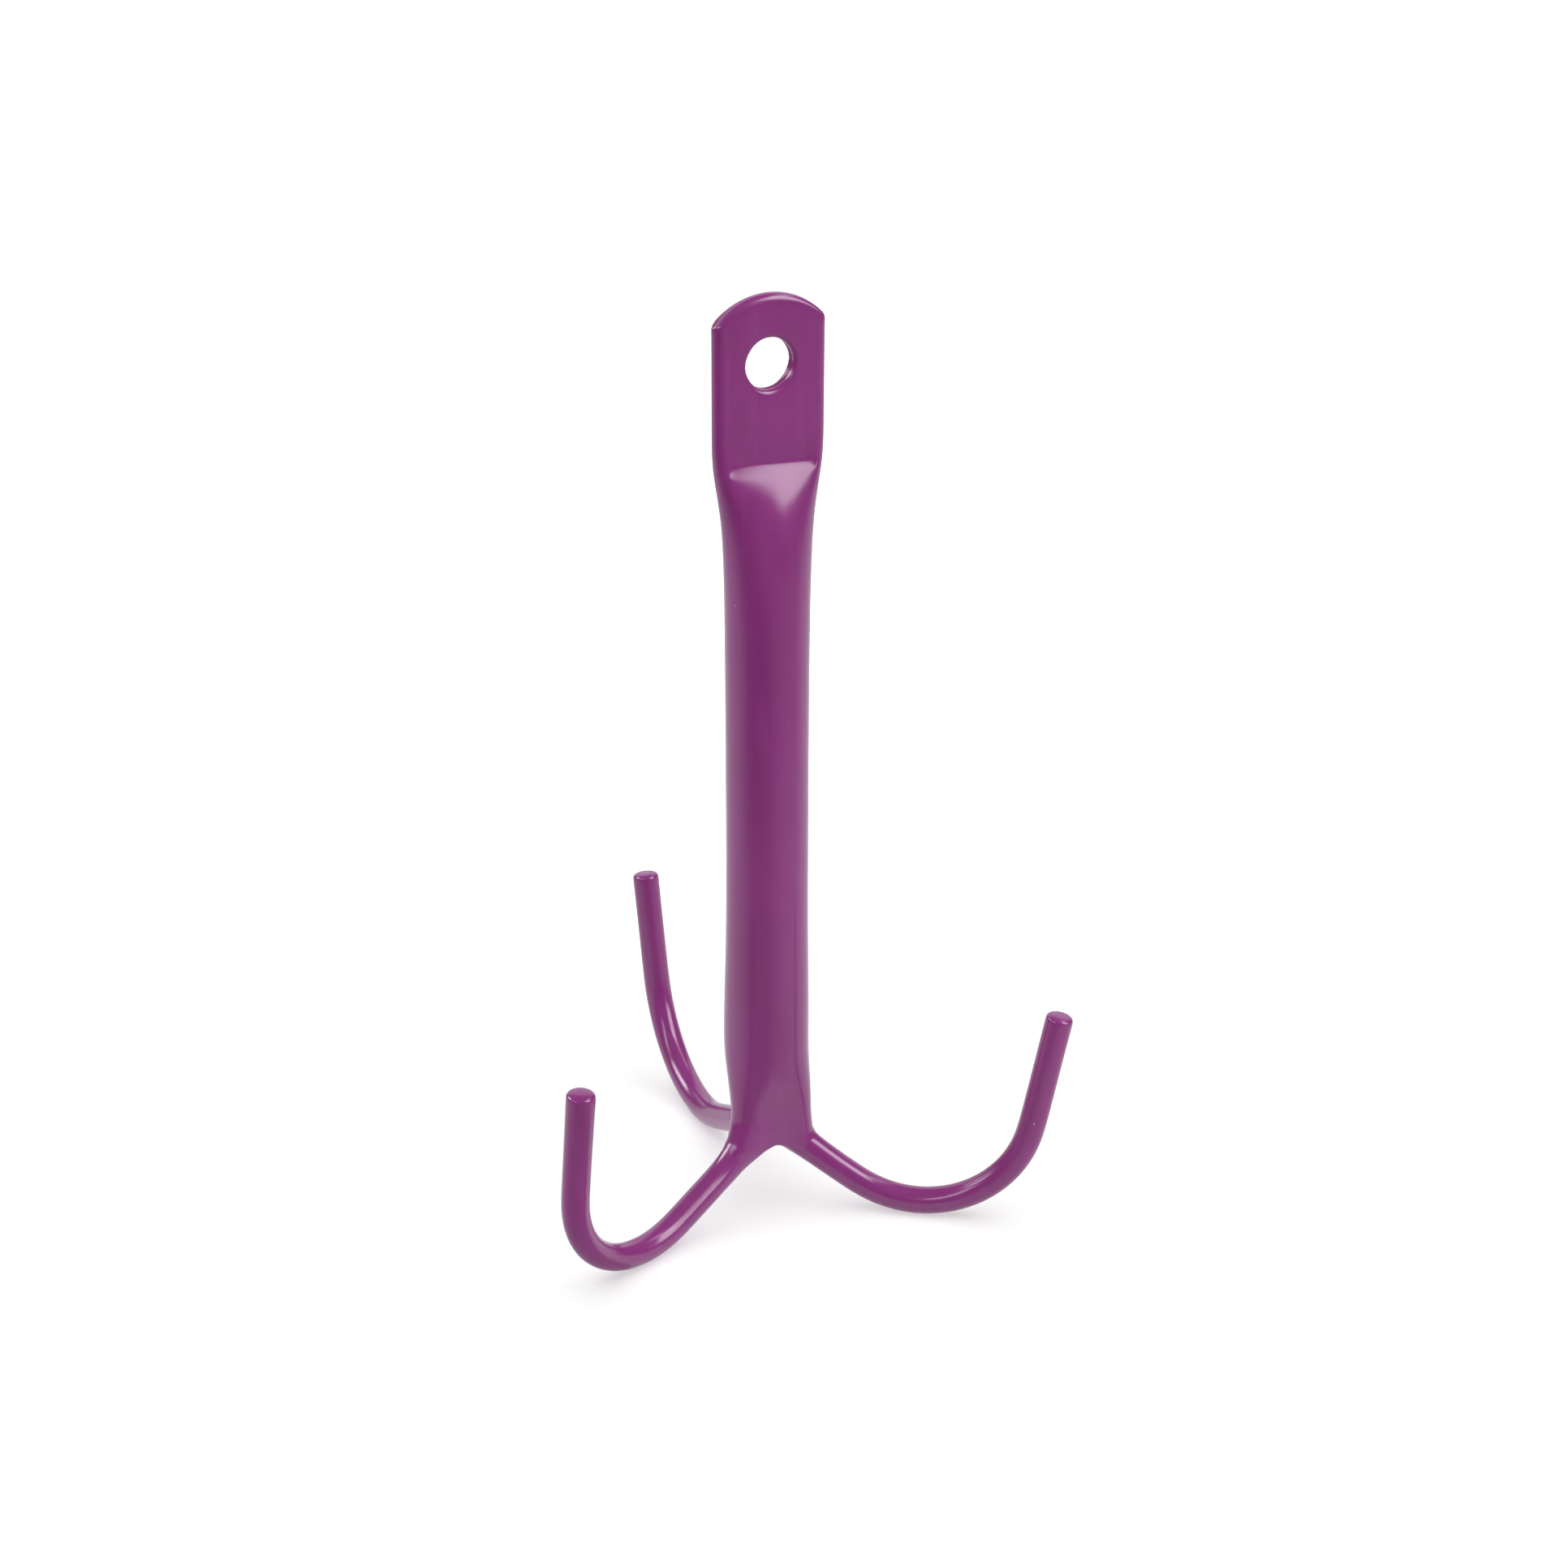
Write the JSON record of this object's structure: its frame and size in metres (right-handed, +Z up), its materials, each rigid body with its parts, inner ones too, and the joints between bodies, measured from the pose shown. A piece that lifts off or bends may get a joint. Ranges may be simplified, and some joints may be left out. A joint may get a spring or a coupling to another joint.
{
  "type": "tack cleaning hook",
  "caption": "Three-pronged hanging hook for cleaning bridles: a plastic-dipped steel stem with a flattened, punched tab and upturned rod hooks at its foot.",
  "frame": {"origin": "on the surface the three hooks stand on, below the centre of the object's box", "axes": "+Z up the stem to the hanging tab, -Y out of the tab's front face, +X to the right of that face"},
  "size_m": [0.1286, 0.129, 0.2337],
  "materials": {
    "coat": "purple dipped PVC, satin gloss",
    "tube": "plain mild steel tube under the coat",
    "rod": "plain mild steel rod under the coat"
  },
  "bodies": {
    "root": {"plastic_coat": "coat", "stem_tube": "tube", "left_hook_rod": "rod", "right_hook_rod": "rod", "rear_hook_rod": "rod"}
  },
  "joints": []
}
